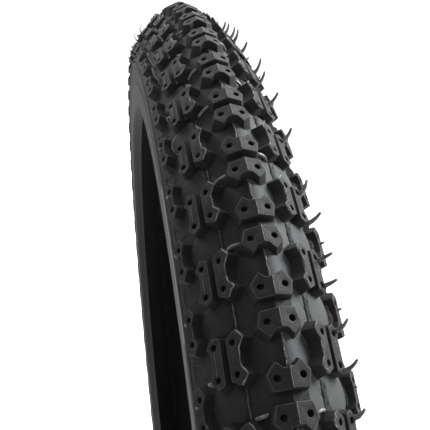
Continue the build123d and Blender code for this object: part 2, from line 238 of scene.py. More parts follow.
def dogbone(knob, shift, quarter_turns, stretch=1.0, crease=0.0):
    """A knob's outline, anticlockwise, placed beside its slot; crease splits it at the middle."""
    foot = knob["width"] - knob["notch"]
    right = [
        (knob["half_edge"], 0),
        (knob["half_wide"], knob["wide_at"]),
        (knob["half_point"], knob["width"]),
        (knob["half_foot"], foot),
    ]
    left = [(-x, y) for x, y in reversed(right)]
    whole = rounded(right + left, 0.3)
    outline = whole
    if crease:
        half = len(whole) // 2
        outline = whole[:half] + [(crease, foot), (-crease, foot)] + whole[half:]
        outline += [(-crease, 0), (crease, 0)]
    moved = [(x * stretch, y + shift) for x, y in outline]
    for _ in range(quarter_turns):
        moved = [(-y, x) for x, y in moved]
    return moved


def dimple_places(knob, shift, quarter_turns, stretch=1.0):
    """The middles of a knob's two dimples."""
    pair = [(s * knob["dimple_along"] * stretch, knob["dimple_across"] + shift) for s in (1, -1)]
    for _ in range(quarter_turns):
        pair = [(-y, x) for x, y in pair]
    return pair


def miters(outline):
    """For each corner, the shift that moves both its edges out by one."""
    points = np.array(outline)
    edge = np.roll(points, -1, 0) - points
    out = np.stack([edge[:, 1], -edge[:, 0]], -1)
    out /= np.linalg.norm(out, axis=1)[:, None]
    before = np.roll(out, 1, 0)
    return (out + before) / (1 + (out * before).sum(1))[:, None]


def inside(point, outline):
    """True if a point lies inside an outline."""
    x, y = point
    hit = False
    for (x0, y0), (x1, y1) in zip(outline, outline[1:] + outline[:1]):
        if (y0 > y) != (y1 > y) and x < (x1 - x0) * (y - y0) / (y1 - y0) + x0:
            hit = not hit
    return hit


def knob(outline, holes, top, base, draft, folds=(), foot=0.3):
    """One moulded knob: a flat top with blind dimples, worn rims, drafted walls, a filleted foot.

    One moulded knob: a flat top with blind dimples, rims lightened as a painted highlight, drafted walls, a
    filleted foot.
    each unit down. folds are pairs of outline points joined by a crease across the top, and
    foot is how far the fillet spreads at the base.
    """
    plan = np.array(outline)
    spread = miters(outline)
    ring = len(outline)
    rings = []
    marks = []
    for inset, drop, mark in RIM_RINGS:
        at = plan - spread * inset
        rings.append(np.column_stack([at, top(at) - drop]))
        marks.append(np.full(ring, mark))
    for above, extra in ((0.5, 0.0), (0.16, 0.25 * foot), (-0.25, foot)):
        at = plan
        for _ in range(3):  # the foot's height depends on how far it has spread
            fall = (top(plan) - base(at) - above)[:, None]
            at = plan + spread * np.array(draft) * fall + spread * extra
        rings.append(np.column_stack([at, base(at) + above]))
        marks.append(np.full(ring, 0.0))
    points = np.concatenate(rings)
    faces = [tuple(reversed(face)) for face in loop_faces(ring, len(rings))]
    faces.append(tuple(reversed(range(len(points) - ring, len(points)))))

    # The top's triangles run from the inner rim to each dimple's lip.
    sides = DIMPLE_SIDES
    lips = []
    for x, y in holes:
        angles = [2 * math.pi * k / sides for k in range(sides)]
        lips.append([(x + DIMPLE_LIP * math.cos(a), y + DIMPLE_LIP * math.sin(a)) for a in angles])
    flat = [tuple(p) for p in rings[0][:, :2]]
    inputs = flat + [p for lip in lips for p in lip]
    edges = [(i, (i + 1) % ring) for i in range(ring)]
    for n in range(len(lips)):
        start = ring + n * sides
        edges += [(start + i, start + (i + 1) % sides) for i in range(sides)]
    edges += list(folds)
    found, _, triangles, origin, _, _ = delaunay_2d_cdt(
        [Vector(p) for p in inputs], edges, [], 0, 1e-6
    )
    lip_points = np.array([p for lip in lips for p in lip]).reshape(-1, 2)
    first_lip = len(points)
    if len(lip_points):
        points = np.concatenate([points, np.column_stack([lip_points, top(lip_points)])])
        marks.append(np.zeros(len(lip_points)))

    def number(i):
        """The gathered point that stands for one of the triangulation's points."""
        source = origin[i][0]
        return source if source < ring else first_lip + source - ring

    for triangle in triangles:
        if any(not origin[i] for i in triangle):
            continue
        middle = sum((found[i] for i in triangle), Vector((0, 0))) / 3
        if inside(middle, flat) and not any(inside(middle, lip) for lip in lips):
            faces.append(tuple(number(i) for i in triangle))
    for n, (x, y) in enumerate(holes):
        previous = list(range(first_lip + n * sides, first_lip + (n + 1) * sides))
        for radius, drop, mark in DIMPLE_RINGS:
            start = len(points)
            angles = 2 * np.pi * np.arange(sides) / sides
            at = np.column_stack([x + radius * np.cos(angles), y + radius * np.sin(angles)])
            points = np.concatenate([points, np.column_stack([at, top(at) - drop])])
            marks.append(np.full(sides, mark))
            current = list(range(start, start + sides))
            for i in range(sides):
                j = (i + 1) % sides
                faces.append((previous[i], previous[j], current[j], current[i]))
            previous = current
        faces.append(tuple(previous))
    return points, faces, np.concatenate(marks)


def seat(place, slope):
    """How a cluster's (u, v, height) over its top plane becomes (radius, side, across)."""
    slope = math.radians(slope)
    radius, side = section(place, TOP_LIFT)

    def put(points):
        u, v, h = np.asarray(points, float).T
        return np.stack([
            radius - u * math.sin(slope) + h * math.cos(slope),
            side + u * math.cos(slope) + h * math.sin(slope),
            v,
        ], -1)

    return put


def base_under(put, low, high):
    """The tread base's height in a cluster's own axes, as a function of its plan."""
    place = np.arange(max(low, 0.0), high, 0.1)
    radius, side = section(np.maximum(place, 1e-9), BASE_LIFT)
    zero = put([(0, 0, 0)])[0]
    step_u = put([(1, 0, 0)])[0] - zero
    step_h = put([(0, 0, 1)])[0] - zero
    u = (radius - zero[0]) * step_u[0] + (side - zero[1]) * step_u[1]
    h = (radius - zero[0]) * step_h[0] + (side - zero[1]) * step_h[1]

    def height(plan):
        plan = np.asarray(plan, float)
        near = np.interp(np.abs(plan[:, 0]) if low < 0 else plan[:, 0], u, h)
        return near - plan[:, 1] ** 2 / (2 * FLANK_ROW_RADIUS) * step_h[0]

    return height


def centre_cluster():
    """Two dog-bones across the crown, with a slight step where the mould's halves meet."""
    crown = OUTER_RADIUS - LINE_HEIGHT
    slope = math.tan(math.radians(ROOF_SLOPE))
    stretch = math.cos(math.radians(ROOF_SLOPE))

    def put(points):
        u, v, h = np.asarray(points, float).T
        return np.stack([crown + h, u, v], -1)

    base = base_under(put, -1, 20)

    def top(plan):
        return -np.abs(np.asarray(plan)[:, 0]) * slope

    out = []
    for turns in (0, 2):
        outline = dogbone(CENTRE_KNOB, CENTRE_SLOT / 2, turns, stretch, crease=0.04)
        holes = dimple_places(CENTRE_KNOB, CENTRE_SLOT / 2, turns, stretch)
        ring = len(outline)
        half = (ring - 4) // 2
        folds = [(half, ring - 1), (half + 1, ring - 2)]
        points, faces, marks = knob(outline, holes, top, base, (0.13, 0.15), folds, 0.25)
        left = points[:, 0] < 0
        points[left, 1] -= MIDDLE_SHIFT
        points[left, 2] -= 0.06
        out.append((put(points), faces, marks))
    out.append(web(put, top, base, 4.82, CENTRE_SLOT / 2 + 0.35, along_u=True))
    return out


def web(put, top, base, half_length, half_width, along_u):
    """The floor of rubber in a cluster's slot, parallel to the knob tops."""
    steps = 14
    sink = KNOB_HEIGHT - WEB_HEIGHT
    points = []
    for k in range(steps + 1):
        t = half_length * (2 * k / steps - 1)
        for across, high in ((-1, False), (-1, True), (1, True), (1, False)):
            uv = (t, across * half_width) if along_u else (across * half_width, t)
            points.append((*uv, top(np.array([uv]))[0] - sink if high else base([uv])[0] - 0.4))
    faces = []
    for k in range(steps):
        for i in range(4):
            j = (i + 1) % 4
            face = (4 * k + i, 4 * k + j, 4 * k + 4 + j, 4 * k + 4 + i)
            faces.append(face if along_u else tuple(reversed(face)))
    ends = [(3, 2, 1, 0), (4 * steps, 4 * steps + 1, 4 * steps + 2, 4 * steps + 3)]
    faces += ends if along_u else [tuple(reversed(face)) for face in ends]
    return put(points), faces, np.zeros(len(points))


def flank_cluster():
    """Two dog-bones along the flank with a slot between them."""
    put = seat(FLANK_PLACE, FLANK_SLOPE)
    base = base_under(put, 1.0, 30.0)

    def top(plan):
        return np.zeros(len(plan))

    out = []
    for sizes, turns in ((INNER_FLANK_KNOB, 1), (OUTER_FLANK_KNOB, 3)):
        outline = dogbone(sizes, FLANK_SLOT / 2, turns)
        holes = dimple_places(sizes, FLANK_SLOT / 2, turns)
        points, faces, marks = knob(outline, holes, top, base, (0.16, 0.16))
        out.append((put(points), faces, marks))
    out.append(web(put, top, base, 5.6, FLANK_SLOT / 2 + 0.35, along_u=False))
    return out


def shoulder_knob():
    """One dog-bone along the shoulder with its notch towards the crown."""
    put = seat(SHOULDER_PLACE, SHOULDER_SLOPE)
    base = base_under(put, 15.0, 37.0)

    def top(plan):
        return np.zeros(len(plan))

    outline = dogbone(SHOULDER_KNOB, 0, 1)
    holes = dimple_places(SHOULDER_KNOB, 0, 1)
    points, faces, marks = knob(outline, holes, top, base, (0.14, 0.16))
    return [(put(points), faces, marks)]


def around(parts, phase, mirrored=False):
    """Repeat parts round the wheel; parts may be a function of the pitch's number."""
    shape = Shape()
    for index in range(PITCHES):
        angle = (index + phase) * PITCH_ANGLE
        for points, faces, marks in parts(index) if callable(parts) else parts:
            placed = turn_to(points * [1, -1 if mirrored else 1, 1], angle)
            shape.add(placed, faces, marks, flip=mirrored)
    return shape


# ---- Flash fins, parting lines and vent hairs ---------------------------------------------------


def wobble(rng, count, knots, low, high):
    """A smooth random line of count values between low and high."""
    values = rng.uniform(low, high, knots)
    return np.interp(np.linspace(0, knots - 1, count), np.arange(knots), values)


def spot(place, across, lift):
    """A point over the casing at a place and a distance round the wheel from the pitch's middle."""
    radius, side = section(np.asarray(place, float), lift)
    turn = across / radius
    return np.stack([radius * np.cos(turn), side + 0 * turn, radius * np.sin(turn)], -1)


def ribbon(feet, tips, half_width, taper=0.4):
    """A thin closed fin between a line of feet and a line of tips."""
    along = np.gradient(feet, axis=0)
    across = np.cross(along, tips - feet)
    across *= (half_width / np.linalg.norm(across, axis=1))[:, None]
    rings = [feet - across, feet + across, tips + across * taper, tips - across * taper]
    points = np.stack(rings, 1).reshape(-1, 3)
    last = 4 * (len(feet) - 1)
    faces = [tuple(reversed(face)) for face in loop_faces(4, len(feet))]
    faces += [(0, 1, 2, 3), (last + 3, last + 2, last + 1, last)]
    return points, faces, np.zeros(len(points))


def hair(foot, bend, tip, thick, thin, sides=8, steps=9):
    """A tapered round hair on a curve that starts at its foot and leans over its bend."""
    t = np.linspace(0, 1, steps)[:, None]
    foot, bend, tip = (np.asarray(p, float) for p in (foot, bend, tip))
    line = foot * (1 - t) ** 2 + bend * 2 * t * (1 - t) + tip * t ** 2
    along = np.gradient(line, axis=0)
    along /= np.linalg.norm(along, axis=1)[:, None]
    guide = np.eye(3)[np.argmin(np.abs(along.mean(0)))]
    first = np.cross(along, guide)
    first /= np.linalg.norm(first, axis=1)[:, None]
    second = np.cross(along, first)
    angles = 2 * np.pi * np.arange(sides) / sides
    size = np.linspace(thick, thin, steps)[:, None, None]
    circle = first[:, None] * np.cos(angles)[:, None] + second[:, None] * np.sin(angles)[:, None]
    points = (line[:, None] + circle * size).reshape(-1, 3)
    dome = (line[-1] + along[-1] * thin * 0.45 + circle[-1] * thin * 0.6).reshape(-1, 3)
    points = np.concatenate([points, dome])
    faces = loop_faces(sides, steps + 1)
    faces += [tuple(reversed(range(sides))), tuple(range(steps * sides, (steps + 1) * sides))]
    return points, faces, np.zeros(len(points))


def centre_flash(index):
    """Torn flash on the base between two centre clusters, and a fine line over the knob tops."""
    rng = np.random.default_rng(CENTRE_FLASH_SEED + index)
    parts = []
    half = PITCH_ANGLE * CENTRE_ROW_RADIUS / 2
    count = 26
    across = np.linspace(half - 4.5, half + 4.5, count)
    drift = wobble(rng, count, 7, -0.13, 0.13) + 0.05
    tall = wobble(rng, count, 13, 0.08, 0.62)
    feet = spot(drift, across, BASE_LIFT - 0.1)
    tips = spot(drift + wobble(rng, count, 9, -0.2, 0.25), across, BASE_LIFT + tall)
    parts.append(ribbon(feet, tips, 0.16))
    foot = CENTRE_SLOT / 2 + CENTRE_KNOB["width"] - CENTRE_KNOB["notch"]
    for low, high in ((-foot + 0.2, -CENTRE_SLOT / 2 - 0.2), (CENTRE_SLOT / 2 + 0.2, foot - 0.2)):
        v = np.linspace(low, high, 9)
        u = 0.05 + wobble(rng, 9, 5, -0.05, 0.05)
        top = OUTER_RADIUS - LINE_HEIGHT - np.abs(u) * math.tan(math.radians(ROOF_SLOPE))
        feet = np.stack([top - 0.05, u, v], -1)
        parts.append(ribbon(feet, feet + [0.05 + LINE_HEIGHT * 0.8, 0, 0], 0.09))
    return parts


def flank_flash(index):
    """Wavy torn flash along the inner knob's notched edge, and the lines of the mould's ring."""
    rng = np.random.default_rng(FLANK_FLASH_SEED + index)
    put = seat(FLANK_PLACE, FLANK_SLOPE)
    size = INNER_FLANK_KNOB
    right = [
        (size["half_wide"], size["wide_at"] + 0.8),
        (size["half_point"], size["width"]),
        (size["half_foot"], size["width"] - size["notch"]),
    ]
    corners = np.array(right + [(-x, y) for x, y in reversed(right)])
    lengths = np.concatenate([[0], np.cumsum(np.linalg.norm(np.diff(corners, axis=0), axis=1))])
    count = 56
    way = np.linspace(0, lengths[-1], count)
    x, y = (np.interp(way, lengths, corners[:, n]) for n in (0, 1))
    u, v = -(y + FLANK_SLOT / 2), x
    tall = wobble(rng, count, 19, 0.15, 1.05) * wobble(rng, count, 6, 0.2, 1.0)
    lean = wobble(rng, count, 15, -0.1, 0.7)
    feet = put(np.stack([u + 0.1, v, np.full(count, -0.12)], -1))
    tips = put(np.stack([u - lean, v, tall], -1))
    parts = [ribbon(feet, tips, 0.13)]

    # the fine line over the outer knob's top, broken at its two dimples
    level = FLANK_SLOT / 2 + OUTER_FLANK_KNOB["dimple_across"]
    for low, high in ((-6.8, -5.6), (-3.3, 3.3), (5.6, 6.8)):
        v = np.linspace(low, high, 6)
        at = np.stack([np.full(6, level), v, np.full(6, -0.04)], -1)
        parts.append(ribbon(put(at), put(at + [0, 0, 0.12]), 0.07))

    # the line on the crown's side of the raised pad, half a pitch on
    half = PITCH_ANGLE * FLANK_ROW_RADIUS / 2
    across = np.linspace(half - 3.9, half + 3.9, 18)
    place = PAD_PLACES[0] - 0.1 + wobble(rng, 18, 8, -0.08, 0.08)
    tips = spot(place + 0.05, across, BASE_LIFT + wobble(rng, 18, 8, 0.15, 0.5))
    parts.append(ribbon(spot(place, across, BASE_LIFT - 0.3), tips, 0.09))
    return parts


def edge_flash(index):
    """A thin pale fin that runs round the wheel just outboard of the flank clusters."""
    rng = np.random.default_rng(EDGE_FLASH_SEED + index)
    across = np.linspace(-0.5, 0.5, 22) * PITCH_ANGLE * SHOULDER_ROW_RADIUS
    place = EDGE_FLASH_PLACE + wobble(rng, 22, 9, -0.12, 0.12)
    tall = wobble(rng, 22, 12, 0.7, 2.5)
    tips = spot(place - 0.2, across, BASE_LIFT + tall)
    return [ribbon(spot(place, across, BASE_LIFT - 0.1), tips, 0.12)]


def base_line(place, across, height, half_width):
    """A fine raised line on the tread base."""
    return ribbon(spot(place, across, BASE_LIFT - 0.1), spot(place, across, BASE_LIFT + height), half_width)


def shoulder_lines():
    """A raised fine frame line between two shoulder knobs and a small V beside each knob."""
    half = PITCH_ANGLE * SHOULDER_ROW_RADIUS / 2
    corners = [(24.6, half - 1.6), (30.4, half - 2.7), (30.4, half + 2.7), (26.2, half + 1.9)]
    parts = []
    for (place, across), (next_place, next_across) in zip(corners, corners[1:]):
        place = np.linspace(place, next_place, 7)
        across = np.linspace(across, next_across, 7)
        parts.append(base_line(place, across, 0.22, 0.1))
    for turn in (-1, 1):
        place = np.linspace(30.0, 30.9, 4)
        across = -7.2 + turn * np.linspace(0.1, 0.75, 4)
        parts.append(base_line(place, across, 0.2, 0.08))
    return parts


def flank_hairs(index, on_right):
    """Vent hairs of one flank cluster: standing, curled, lying on the base, or torn to a stub."""
    rng = np.random.default_rng(FLANK_HAIR_SEEDS["right" if on_right else "left"] + index)
    chances = [0.55, 0.2, 0.1, 0.15] if on_right else [0.2, 0.2, 0.4, 0.2]
    kind = rng.choice(["stand", "curl", "lie", "stub"], p=chances)
    parts = []
    for end in (-1, 1) if on_right else (rng.choice([-1, 1]),):
        across = end * rng.uniform(3.2, 6.0)
        place = 19.0 + rng.uniform(-0.5, 0.4)
        foot = spot(place, across, TOP_LIFT - 0.5)
        if kind == "stand" or (on_right and end > 0 and kind != "curl"):
            tall = rng.uniform(3.8, 5.3)
            sway = rng.uniform(-0.6, 2.2)
            bend = spot(place - 0.2, across, TOP_LIFT + tall * 0.45)
            parts.append(hair(foot, bend, spot(place - 1.3, across + sway, TOP_LIFT + tall), 0.85, 0.42))
        elif kind == "curl":
            reach = rng.uniform(2.0, 4.0) * rng.choice([-1, 1])
            bend = spot(place - 0.8, across, TOP_LIFT + 3.6)
            tip = spot(place - 2.4, across + reach, TOP_LIFT + rng.uniform(1.4, 3.6))
            parts.append(hair(foot, bend, tip, 0.36, 0.17))
        elif kind == "stub":
            bend = spot(place, across, TOP_LIFT + 0.3)
            parts.append(hair(foot, bend, spot(place, across, TOP_LIFT + 0.9), 0.7, 0.5))
    if kind == "lie" or rng.random() < 0.3:
        end = rng.choice([-1, 1]) * 7.9
        bend = spot(7.4, end + 0.2, BASE_LIFT + rng.uniform(1.2, 1.9))
        tip = spot(rng.uniform(4.6, 5.6), end + rng.uniform(-0.5, 0.9), BASE_LIFT + 1.0)
        parts.append(hair(spot(9.6, end, BASE_LIFT + 0.3), bend, tip, 0.66, 0.5))
    return parts


def shoulder_hairs(index, on_right):
    """A short dark stub beside the upper dimple of a shoulder knob."""
    rng = np.random.default_rng(SHOULDER_HAIR_SEEDS["right" if on_right else "left"] + index)
    tall = rng.uniform(0.5, 1.7)
    across = SHOULDER_KNOB["dimple_along"] + rng.uniform(-0.3, 0.3) - 1.9
    place = 26.5
    foot = spot(place, across, TOP_LIFT - 0.6)
    bend = spot(place, across, TOP_LIFT + tall * 0.4)
    tip = spot(place - 0.5, across + rng.uniform(-0.4, 0.4), TOP_LIFT + tall - 0.35)
    return [hair(foot, bend, tip, 0.42, 0.34)]


# ---- Tread base --------------------------------------------------------------------------------


def base_lift(place, across):
    """The tread base's lift off the casing; across is in millimetres from a centre cluster."""
    far = np.abs(place)
    lift = np.full(np.broadcast(far, across).shape, BASE_LIFT)
    low, high = PAD_PLACES
    middle = (low + high) / 2
    reach = (high - low) / 2
    sideways = np.abs((far - middle) / reach) ** 3.2
    edge = 1 - smooth(0.84, 1.0, sideways + np.abs(across / (PAD_HALF_LENGTH + 0.4)) ** 2.6)
    crown = 1 - 0.35 * np.abs(across / PAD_HALF_LENGTH) ** 2
    lift = lift + PAD_HEIGHT * edge * np.clip(crown, 0, 1)
    # a dark groove on the crown's side of the pad
    groove = np.exp(-(((far - low + 0.35) / 0.3) ** 2))
    lift = lift - 0.25 * groove * (1 - smooth(4.5, 6, np.abs(across)))
    # the fold at the centre line
    lift = lift - 0.26 * np.exp(-(((place + 0.6) / 0.45) ** 2))
    # shallow scallops round the ends of the flank clusters
    half = PITCH_ANGLE * FLANK_ROW_RADIUS / 2
    for end in (-1, 1):
        away = np.hypot(far - 12.4, across - end * (half - 7.4)) - SCALLOP_RADIUS
        dip = 0.16 * np.exp(-((away / 0.45) ** 2))
        lift = lift - dip * smooth(4.5, 7.0, far) * (1 - smooth(12, 14, far))
    return lift


def swept(radius, side, rows):
    """A closed section turned round the wheel; radius and side may change from row to row."""
    angle = np.arange(rows) * 2 * np.pi / rows
    c, s = np.cos(angle)[:, None], np.sin(angle)[:, None]
    points = np.stack([radius * c, side + 0 * c, radius * s], -1).reshape(-1, 3)
    wide = radius.shape[1]
    i = np.arange(wide)
    j = (i + 1) % wide
    k = np.arange(rows)[:, None]
    n = (k + 1) % rows
    quads = np.stack([k * wide + i, k * wide + j, n * wide + j, n * wide + i], -1).reshape(-1, 4)
    shape = Shape()
    shape.add(points, [tuple(q) for q in quads.tolist()])
    return shape


def base_band(columns, rows_per_pitch=32):
    """A closed band of tread base between two places, with its pads and grooves."""
    rows = PITCHES * rows_per_pitch
    angle = np.arange(rows) * 2 * np.pi / rows
    phase = (angle / PITCH_ANGLE + 0.5) % 1 - 0.5
    places = np.asarray(columns, float)
    across = phase[:, None] * PITCH_ANGLE * section(places, BASE_LIFT)[0][None, :]
    places = np.where(places == 0, 1e-6 * np.sign(places.sum()), places)
    lift = base_lift(places[None, :], across)
    radius, side = section(places[None, :] + np.zeros_like(lift), lift)
    inner_places = np.linspace(places[-1], places[0], 5)
    inner_radius, inner_side = section(inner_places, 0.02)
    radius = np.concatenate([radius, np.broadcast_to(inner_radius, (rows, 5))], 1)
    side = np.concatenate([side, np.broadcast_to(inner_side, (rows, 5))], 1)
    return swept(radius, side, rows)


# ---- Sidewalls ---------------------------------------------------------------------------------


def wall_place(slope):
    """The place on the wall arc with this slope, in degrees."""
    return WALL_ARC_START + WALL_ARC_RADIUS * math.radians(slope - WALL_ARC_SLOPE)


def sidewall(side):
    """A sidewall with a flat rib, fine raised lines and a groove; side is 1 on the right, -1 left."""

    def bump(place, middle, half, height):
        return height * np.exp(-(((place - middle) / half) ** 4))

    rib_low, rib_high = wall_place(71), wall_place(79)
    outer = np.linspace(TREAD_EDGE - 0.05, WALL_END, 92)
    lift = np.full(outer.shape, SIDEWALL_LIFT)
    lift += (RIB_LIFT - SIDEWALL_LIFT) * smooth(rib_low - 0.25, rib_low, outer) * (
        1 - smooth(rib_high, rib_high + 0.25, outer)
    )
    lift += bump(outer, wall_place(88), 0.2, 0.22)
    lift += bump(outer, wall_place(62) + 1.0, 0.15, 0.2)
    lift -= bump(outer, wall_place(83), 0.35, 0.25)
    top = np.stack(section(outer, lift), -1)
    inner = np.stack(section(np.linspace(WALL_END, TREAD_EDGE - 0.05, 8), np.full(8, 0.02)), -1)
    profile = np.concatenate([top, inner])
    profile[:, 1] *= side
    if side < 0:
        profile = profile[::-1]
    return swept(profile[:, 0][None, :], profile[:, 1][None, :], 512)


# ---- Materials ---------------------------------------------------------------------------------


class Nodes:
    """A short way to write a material's node tree."""

    def __init__(self, name):
        self.material = bpy.data.materials.new(name)
        self.material.use_nodes = True
        self.tree = self.material.node_tree
        self.shader = self.tree.nodes["Principled BSDF"]

    def add(self, kind, settings=None, **inputs):
        node = self.tree.nodes.new(kind)
        for key, value in (settings or {}).items():
            setattr(node, key, value)
        for key, value in inputs.items():
            socket = node.inputs[int(key[2:]) if key.startswith("in") else key]
            if isinstance(value, bpy.types.NodeSocket):
                self.tree.links.new(value, socket)
            else:
                socket.default_value = value
        return node

    def coords(self):
        return self.add("ShaderNodeTexCoord").outputs["Object"]

    def noise(self, scale, detail=3.0, rough=0.55, vector=None):
        node = self.add("ShaderNodeTexNoise", Scale=scale, Detail=detail, Roughness=rough)
        self.tree.links.new(vector or self.coords(), node.inputs["Vector"])
        return node.outputs["Fac"]

    def ramp(self, value, stops):
        node = self.add("ShaderNodeValToRGB", Fac=value)
        first, last = node.color_ramp.elements
        first.position, first.color = stops[0][0], (*stops[0][1], 1)
        last.position, last.color = stops[-1][0], (*stops[-1][1], 1)
        for place, colour in stops[1:-1]:
            stop = node.color_ramp.elements.new(place)
            stop.color = (*colour, 1)
        return node.outputs["Color"]

    def mix(self, factor, a, b, blend="MIX"):
        node = self.add("ShaderNodeMix", {"data_type": "RGBA", "blend_type": blend})
        for socket, value in ((node.inputs[0], factor), (node.inputs[6], a), (node.inputs[7], b)):
            if isinstance(value, bpy.types.NodeSocket):
                self.tree.links.new(value, socket)
            else:
                socket.default_value = value if isinstance(value, float) else (*value, 1)
        return node.outputs[2]

    def maths(self, operation, a, b=0.0):
        node = self.add("ShaderNodeMath", {"operation": operation})
        for socket, value in ((node.inputs[0], a), (node.inputs[1], b)):
            if isinstance(value, bpy.types.NodeSocket):
                self.tree.links.new(value, socket)
            else:
                socket.default_value = value
        return node.outputs[0]

    def wear(self):
        return self.add("ShaderNodeAttribute", {"attribute_name": "wear"}).outputs["Fac"]

    def bump(self, height, distance, strength=1.0, under=None):
        node = self.add("ShaderNodeBump", Height=height, Distance=distance, Strength=strength)
        if under is not None:
            self.tree.links.new(under, node.inputs["Normal"])
        return node.outputs["Normal"]

    def done(self, colour, rough, normal=None, specular=0.35, **more):
        sockets = self.shader.inputs
        for key, value in (("Base Color", colour), ("Roughness", rough), ("Normal", normal)):
            if value is None:
                continue
            if isinstance(value, bpy.types.NodeSocket):
                self.tree.links.new(value, sockets[key])
            else:
                sockets[key].default_value = value if isinstance(value, float) else (*value, 1)
        sockets["Specular IOR Level"].default_value = specular
        for key, value in more.items():
            sockets[key.replace("_", " ")].default_value = value
        return self.material


def grey(level, tint=(1.0, 1.0, 1.0)):
    return tuple(level * t for t in tint)


def tread_rubber(name, low, high, dust, rough, tint):
    """Matte black moulded rubber with fine specks, a soft cloudy bloom and rims lightened as a painted
    highlight.
    """
    n = Nodes(name)
    cloud = n.noise(70, 4)
    fine = n.noise(1900, 3, 0.6)
    speck = n.noise(2600, 1, 0.5)
    colour = n.ramp(cloud, [(0.3, grey(low, tint)), (0.7, grey(high, tint))])
    colour = n.mix(n.ramp(fine, [(0.42, grey(0.0)), (0.75, grey(dust))]), colour, grey(high * 1.8, tint))
    colour = n.mix(n.ramp(speck, [(0.66, grey(0.0)), (0.74, grey(0.5))]), colour, grey(0.035))
    # knob rims and dimple lips marked in the attribute are painted lighter: a painted highlight
    rim = n.maths("MULTIPLY", n.wear(), n.ramp(n.noise(500, 3), [(0.3, grey(0.1)), (0.7, grey(0.65))]))
    colour = n.mix(rim, colour, grey(0.075, tint))
    shine = n.ramp(fine, [(0.3, grey(rough[0])), (0.7, grey(rough[1]))])
    normal = n.bump(speck, 0.0002, 0.3, n.bump(fine, 0.00018, 0.7))
    return n.done(colour, shine, normal, 0.17)


def flash_rubber(name, tint):
    """Thin torn flash in pale patches."""
    n = Nodes(name)
    patch = n.noise(620, 4, 0.65)
    levels = ((0.32, 0.035), (0.5, 0.1), (0.7, 0.22))
    colour = n.ramp(patch, [(place, grey(level, tint)) for place, level in levels])
    return n.done(colour, 0.6, n.bump(n.noise(2200, 3), 0.0002, 0.6), 0.4)


def spew_rubber():
    """Vent hairs: dull dark rubber with a dusty brown-grey bloom."""
    n = Nodes("spew_rubber")
    patch = n.noise(330, 3, 0.6)
    colour = n.ramp(patch, [(0.35, grey(0.04)), (0.7, grey(0.13, (1.06, 1, 0.9)))])
    return n.done(colour, 0.5, n.bump(n.noise(1500, 2), 0.0002, 0.4), 0.4)


def rings(n, scale, detail=2.0):
    """Noise that changes only with the distance from the axle, like turning marks in a mould."""
    split = n.add("ShaderNodeSeparateXYZ", in0=n.coords())
    flat = n.add("ShaderNodeCombineXYZ", in0=split.outputs["X"], in2=split.outputs["Z"])
    far = n.add("ShaderNodeVectorMath", {"operation": "LENGTH"}, in0=flat.outputs[0])
    only = n.add("ShaderNodeCombineXYZ", in0=far.outputs["Value"], in1=split.outputs["Y"])
    return n.noise(scale, detail, 0.5, only.outputs[0])


def cords(n, around_wheel, across):
    """Two crossed families of cords on the casing, as one height between 0 and 1."""
    split = n.add("ShaderNodeSeparateXYZ", in0=n.coords())
    turn = n.maths("MULTIPLY", n.maths("ARCTAN2", split.outputs["Z"], split.outputs["X"]), around_wheel)
    side = n.maths("MULTIPLY", split.outputs["Y"], across)
    one = n.maths("ABSOLUTE", n.maths("SINE", n.maths("ADD", turn, side)))
    two = n.maths("ABSOLUTE", n.maths("SINE", n.maths("SUBTRACT", turn, side)))
    return n.maths("ADD", n.maths("MULTIPLY", one, 0.72), n.maths("MULTIPLY", two, 0.28))


def sidewall_rubber():
    """Satin sidewall rubber with faint turning marks and a little bloom."""
    n = Nodes("sidewall_rubber")
    cloud = n.noise(45, 4)
    fine = n.noise(1500, 3)
    turned = rings(n, 1400)
    colour = n.ramp(cloud, [(0.3, grey(0.010)), (0.72, grey(0.018, (1, 1, 1.02)))])
    colour = n.mix(n.ramp(turned, [(0.45, grey(0.0)), (0.7, grey(0.35))]), colour, grey(0.03))
    shine = n.ramp(fine, [(0.3, grey(0.62)), (0.7, grey(0.8))])
    return n.done(colour, shine, n.bump(turned, 0.00012, 0.5, n.bump(fine, 0.00012, 0.4)), 0.15)


def label_film():
    """A plain, dull, slightly rubbed reddish-brown patch."""
    n = Nodes("label_film")
    patch = n.noise(160, 4, 0.6)
    colour = n.ramp(patch, [(0.35, (0.045, 0.026, 0.022)), (0.7, (0.085, 0.050, 0.042))])
    colour = n.mix(n.ramp(n.noise(700, 4), [(0.55, grey(0.0)), (0.75, grey(0.6))]), colour, grey(0.03))
    return n.done(colour, 0.55, n.bump(n.noise(1700, 3), 0.0001, 0.4), 0.35)


def casing_fabric():
    """Rubberised carcass fabric with fine crossed cords."""
    n = Nodes("casing_fabric")
    height = cords(n, 640.0, 2700.0)
    colour = n.ramp(height, [(0.2, grey(0.006)), (0.9, grey(0.018, (1.05, 1, 0.93)))])
    colour = n.mix(n.ramp(n.noise(120, 4), [(0.4, grey(0.0)), (0.7, grey(0.5))]), colour, grey(0.010))
    return n.done(colour, 0.8, n.bump(height, 0.00025, 0.7), 0.12)


def chafer_rubber():
    """Smooth bead rubber with the fine print of a square weave."""
    n = Nodes("chafer_rubber")
    weave = cords(n, 900.0, 4200.0)
    turned = rings(n, 900)
    colour = n.ramp(turned, [(0.3, grey(0.010)), (0.7, grey(0.02))])
    return n.done(colour, 0.68, n.bump(weave, 0.0001, 0.4), 0.2)


def filler_rubber():
    """Plain dark bead filler."""
    n = Nodes("filler_rubber")
    cloud = n.noise(300, 3)
    colour = n.ramp(cloud, [(0.3, grey(0.015)), (0.7, grey(0.03))])
    return n.done(colour, 0.6, n.bump(cloud, 0.0002, 0.4), 0.35)


def bead_steel():
    """Drawn steel wire with fine scratches."""
    n = Nodes("bead_steel")
    scratch = n.noise(800, 4)
    colour = n.ramp(scratch, [(0.3, grey(0.42)), (0.7, grey(0.6))])
    shine = n.ramp(scratch, [(0.3, grey(0.25)), (0.7, grey(0.45))])
    return n.done(colour, shine, None, 0.5, Metallic=1.0)


